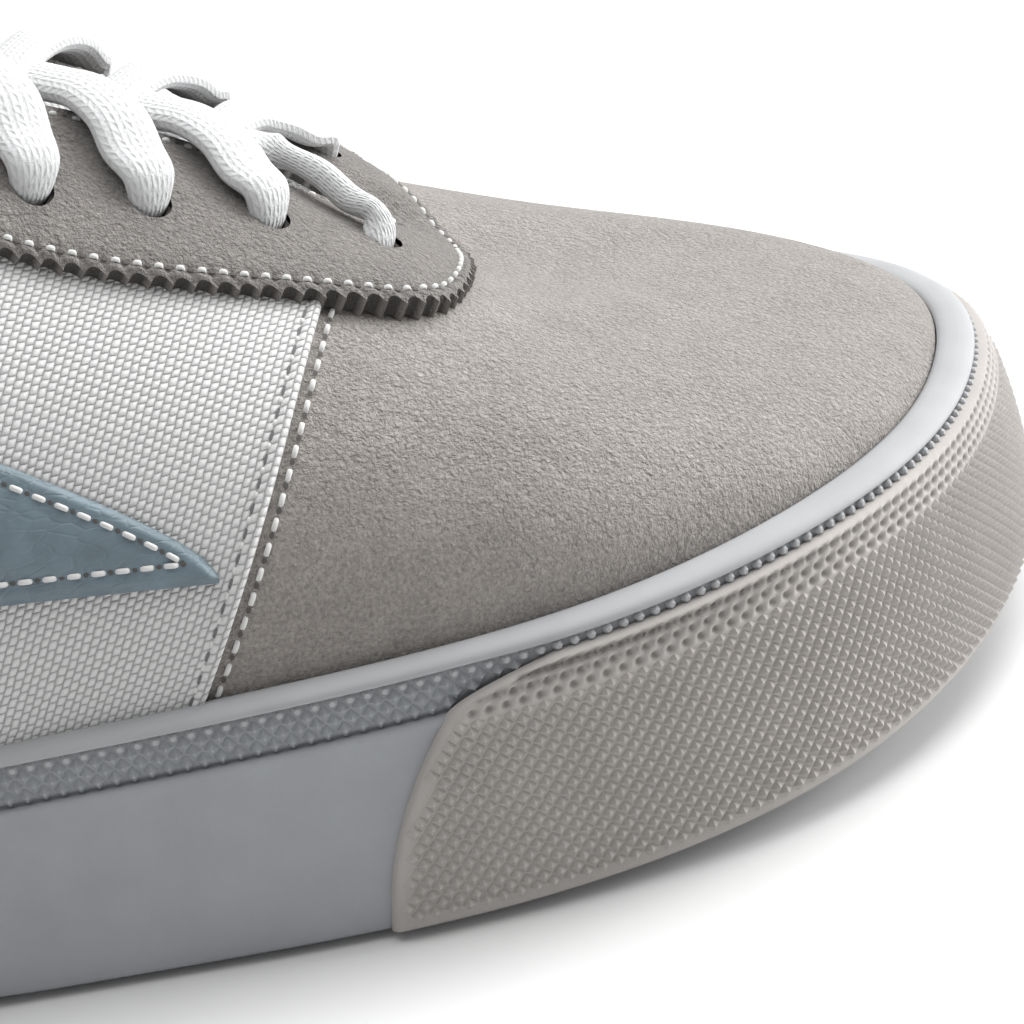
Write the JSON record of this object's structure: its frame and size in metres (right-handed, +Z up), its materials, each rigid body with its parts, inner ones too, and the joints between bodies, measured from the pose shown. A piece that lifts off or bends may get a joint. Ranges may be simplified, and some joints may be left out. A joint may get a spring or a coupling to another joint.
{
  "type": "skateboarding shoe",
  "caption": "Low skateboarding shoe for the left foot, taupe suede vamp and eyestay, pale canvas quarters, white vulcanised sole with a taupe toe bumper and flat white laces.",
  "frame": {"origin": "middle of the sole's outline on the floor", "axes": "+X to the toe, +Y to the outer side of the foot, +Z up"},
  "size_m": [0.2962, 0.1123, 0.1078],
  "materials": {
    "outsole_rubber": "flat tread rubber",
    "white_rubber": "matt moulded rubber, pitted lower wall",
    "taupe_rubber": "matt rubber with a diamond lattice",
    "vamp_suede": "napped suede",
    "canvas": "plain woven canvas",
    "taupe_suede": "napped suede with a pinked edge",
    "blue_leather": "smooth leather with fine wrinkles",
    "insole_foam": "thin textile over foam",
    "lace_cotton": "flat knitted cotton"
  },
  "bodies": {
    "root": {"outsole": "outsole_rubber", "midsole": "white_rubber", "toe_bumper": "taupe_rubber", "upper": "vamp_suede", "quarter_inner": "canvas", "quarter_outer": "canvas", "eyestay": "taupe_suede", "heel_counter": "taupe_suede", "side_patch_inner": "blue_leather", "side_patch_outer": "blue_leather", "tongue": "canvas", "insole": "insole_foam", "laces": "lace_cotton"}
  },
  "joints": []
}
